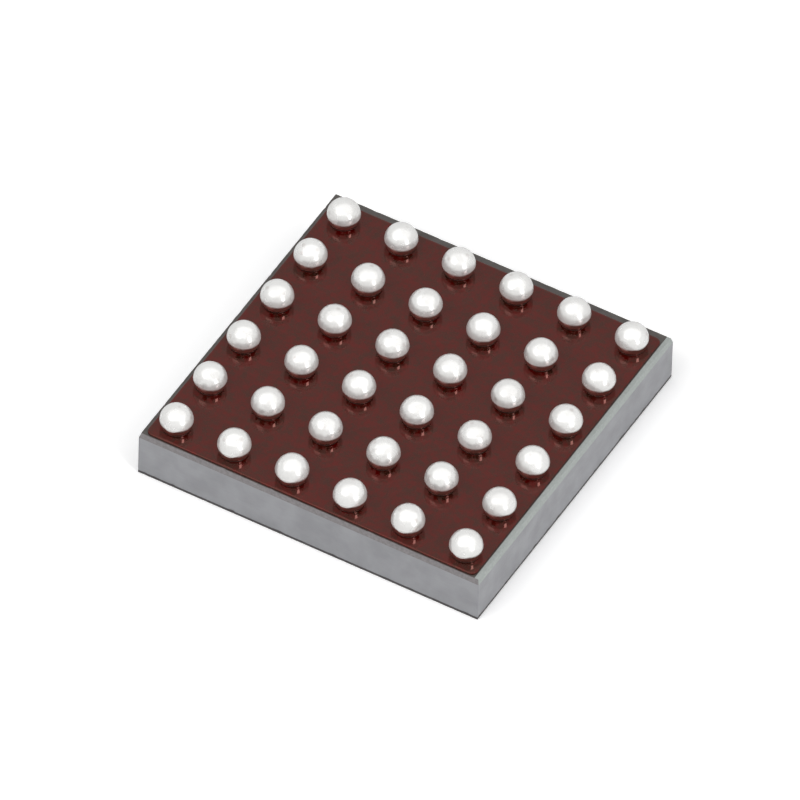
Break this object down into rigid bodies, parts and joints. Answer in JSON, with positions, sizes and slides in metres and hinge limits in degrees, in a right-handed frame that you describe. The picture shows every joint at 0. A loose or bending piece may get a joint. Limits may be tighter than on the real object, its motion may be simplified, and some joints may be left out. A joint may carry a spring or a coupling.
{
  "type": "wafer-level ball grid array chip",
  "caption": "Square silicon chip lying on its back, with an even grid of shiny solder balls on a dark red-brown film and matt sawn sides.",
  "frame": {"origin": "centre of the ball field, on the plane of the back face that the chip lies on; the saw lines lie 0.005 mm off it towards +X and 0.025 mm off it towards +Y", "axes": "+Z from the back face towards the solder balls; +Y towards ball row A; +X towards ball column 1"},
  "size_m": [0.003, 0.0029, 0.0006],
  "materials": {
    "solder": "polished",
    "dielectric": "gloss",
    "silicon": "matte",
    "back_film": "matte",
    "copper": "satin",
    "under_bump": "satin",
    "aluminium": "satin"
  },
  "bodies": {
    "root": {"back_film": "back_film", "die": "silicon", "lower_film": "dielectric", "upper_film": "dielectric", "bond_pads_right": "aluminium", "bond_pads_back": "aluminium", "bond_pads_left": "aluminium", "bond_pads_front": "aluminium", "traces_right": "copper", "traces_back": "copper", "traces_left": "copper", "traces_front": "copper", "under_bumps_a": "under_bump", "under_bumps_b": "under_bump", "under_bumps_c": "under_bump", "under_bumps_d": "under_bump", "under_bumps_e": "under_bump", "under_bumps_f": "under_bump", "ball_a1": "solder", "ball_a2": "solder", "ball_a3": "solder", "ball_a4": "solder", "ball_a5": "solder", "ball_a6": "solder", "ball_b1": "solder", "ball_b2": "solder", "ball_b3": "solder", "ball_b4": "solder", "ball_b5": "solder", "ball_b6": "solder", "ball_c1": "solder", "ball_c2": "solder", "ball_c3": "solder", "ball_c4": "solder", "ball_c5": "solder", "ball_c6": "solder", "ball_d1": "solder", "ball_d2": "solder", "ball_d3": "solder", "ball_d4": "solder", "ball_d5": "solder", "ball_d6": "solder", "ball_e1": "solder", "ball_e2": "solder", "ball_e3": "solder", "ball_e4": "solder", "ball_e5": "solder", "ball_e6": "solder", "ball_f1": "solder", "ball_f2": "solder", "ball_f3": "solder", "ball_f4": "solder", "ball_f5": "solder", "ball_f6": "solder"}
  },
  "joints": []
}
